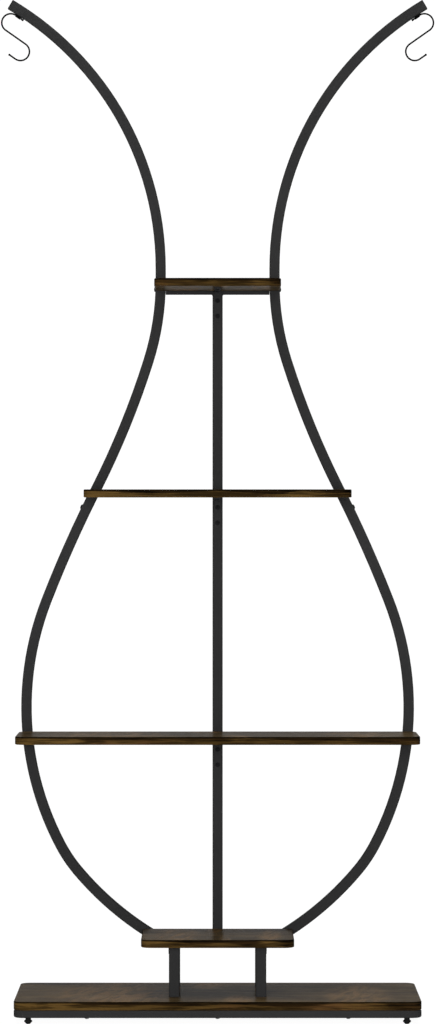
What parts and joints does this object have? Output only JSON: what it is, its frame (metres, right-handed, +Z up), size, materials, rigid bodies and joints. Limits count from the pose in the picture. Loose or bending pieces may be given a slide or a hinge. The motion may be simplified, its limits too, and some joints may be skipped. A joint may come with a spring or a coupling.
{
  "type": "tiered plant stand",
  "caption": "Tall plant stand: vase-shaped frame of bent square tube on a low base, with wooden shelves at stepped heights and open arms that end in wire hooks.",
  "frame": {"origin": "on the floor, under the middle of the base", "axes": "+X to the viewer's right, +Y to the back, +Z up; the shelves' open side faces -Y"},
  "size_m": [0.876, 0.3, 2.039],
  "materials": {
    "boards": "rustic dark brown board with burnt streaks, satin",
    "frame_steel": "matt black powder coat",
    "black_bolts": "blackened steel, low sheen",
    "zinc_steel": "bright zinc plate",
    "black_plastic": "moulded black plastic, matt",
    "hook_wire": "black coated wire, smooth"
  },
  "bodies": {
    "stand": {"base_board": "boards", "base_rim": "frame_steel", "base_bar_left": "frame_steel", "base_bar_right": "frame_steel", "corner_plates": "frame_steel", "foot_nuts": "zinc_steel", "base_screws": "zinc_steel", "leg_bolts": "zinc_steel", "tube_plugs": "black_plastic", "front_leg_left": "frame_steel", "front_leg_right": "frame_steel", "rear_leg_left": "frame_steel", "rear_leg_right": "frame_steel", "side_rail_left": "frame_steel", "side_rail_right": "frame_steel", "lower_crossbar": "frame_steel", "shelf_4": "boards", "shelf_4_screws": "zinc_steel", "corner_connector_left": "black_plastic", "corner_connector_right": "black_plastic", "connector_bolts": "black_bolts", "lower_tube_left": "frame_steel", "lower_tube_right": "frame_steel", "joint_sleeve_left": "zinc_steel", "joint_sleeve_right": "zinc_steel", "joint_bolts": "black_bolts", "joint_nuts": "zinc_steel", "upper_tube_left": "frame_steel", "upper_tube_right": "frame_steel", "arm_cap_left": "black_plastic", "arm_cap_right": "black_plastic", "neck_crossbar": "frame_steel", "neck_bolts": "black_bolts", "lower_post": "frame_steel", "upper_post": "frame_steel", "post_sleeve": "zinc_steel", "post_bolt": "black_bolts", "shelf_bracket_1": "frame_steel", "shelf_bracket_2": "frame_steel", "shelf_bracket_3": "frame_steel", "bracket_bolts": "black_bolts", "bracket_nuts": "zinc_steel", "bracket_screws": "black_bolts", "shelf_1": "boards", "shelf_2": "boards", "shelf_3": "boards", "edge_screws": "black_bolts", "hook_clip_left": "hook_wire", "hook_clip_right": "hook_wire"},
    "foot_pad_front_left": {"foot_pad_front_left": "black_plastic"},
    "foot_stud_front_left": {"foot_stud_front_left": "zinc_steel"},
    "foot_pad_front_right": {"foot_pad_front_right": "black_plastic"},
    "foot_stud_front_right": {"foot_stud_front_right": "zinc_steel"},
    "foot_pad_rear_left": {"foot_pad_rear_left": "black_plastic"},
    "foot_stud_rear_left": {"foot_stud_rear_left": "zinc_steel"},
    "foot_pad_rear_right": {"foot_pad_rear_right": "black_plastic"},
    "foot_stud_rear_right": {"foot_stud_rear_right": "zinc_steel"},
    "hook_left": {"hook_left": "hook_wire"},
    "hook_right": {"hook_right": "hook_wire"}
  },
  "joints": [
    {"name": "foot_travel_front_left", "type": "slide", "parent": "stand", "child": "foot_pad_front_left", "axis": [0, 0, -1], "range_m": [0, 0.01]},
    {"name": "foot_turn_front_left", "type": "hinge", "parent": "foot_pad_front_left", "child": "foot_stud_front_left", "pos_m": [-0.372, -0.12, 0.0075], "axis": [0, 0, -1], "range_deg": [0, 2880]},
    {"name": "foot_travel_front_right", "type": "slide", "parent": "stand", "child": "foot_pad_front_right", "axis": [0, 0, -1], "range_m": [0, 0.01]},
    {"name": "foot_turn_front_right", "type": "hinge", "parent": "foot_pad_front_right", "child": "foot_stud_front_right", "pos_m": [0.372, -0.12, 0.0075], "axis": [0, 0, -1], "range_deg": [0, 2880]},
    {"name": "foot_travel_rear_left", "type": "slide", "parent": "stand", "child": "foot_pad_rear_left", "axis": [0, 0, -1], "range_m": [0, 0.01]},
    {"name": "foot_turn_rear_left", "type": "hinge", "parent": "foot_pad_rear_left", "child": "foot_stud_rear_left", "pos_m": [-0.372, 0.12, 0.0075], "axis": [0, 0, -1], "range_deg": [0, 2880]},
    {"name": "foot_travel_rear_right", "type": "slide", "parent": "stand", "child": "foot_pad_rear_right", "axis": [0, 0, -1], "range_m": [0, 0.01]},
    {"name": "foot_turn_rear_right", "type": "hinge", "parent": "foot_pad_rear_right", "child": "foot_stud_rear_right", "pos_m": [0.372, 0.12, 0.0075], "axis": [0, 0, -1], "range_deg": [0, 2880]},
    {"name": "hook_swing_left", "type": "hinge", "parent": "stand", "child": "hook_left", "pos_m": [-0.40083, 0.0963, 2.00373], "axis": [-0.8181, 0, 0.575], "range_deg": [-80, 80]},
    {"name": "hook_swing_right", "type": "hinge", "parent": "stand", "child": "hook_right", "pos_m": [0.40083, 0.0963, 2.00373], "axis": [0.8181, 0, 0.575], "range_deg": [-80, 80]}
  ],
  "couplings": [
    {"joint": "foot_turn_front_left", "follows": "foot_travel_front_left", "rad_per_m": 5026.5},
    {"joint": "foot_turn_front_right", "follows": "foot_travel_front_right", "rad_per_m": 5026.5},
    {"joint": "foot_turn_rear_left", "follows": "foot_travel_rear_left", "rad_per_m": 5026.5},
    {"joint": "foot_turn_rear_right", "follows": "foot_travel_rear_right", "rad_per_m": 5026.5}
  ]
}
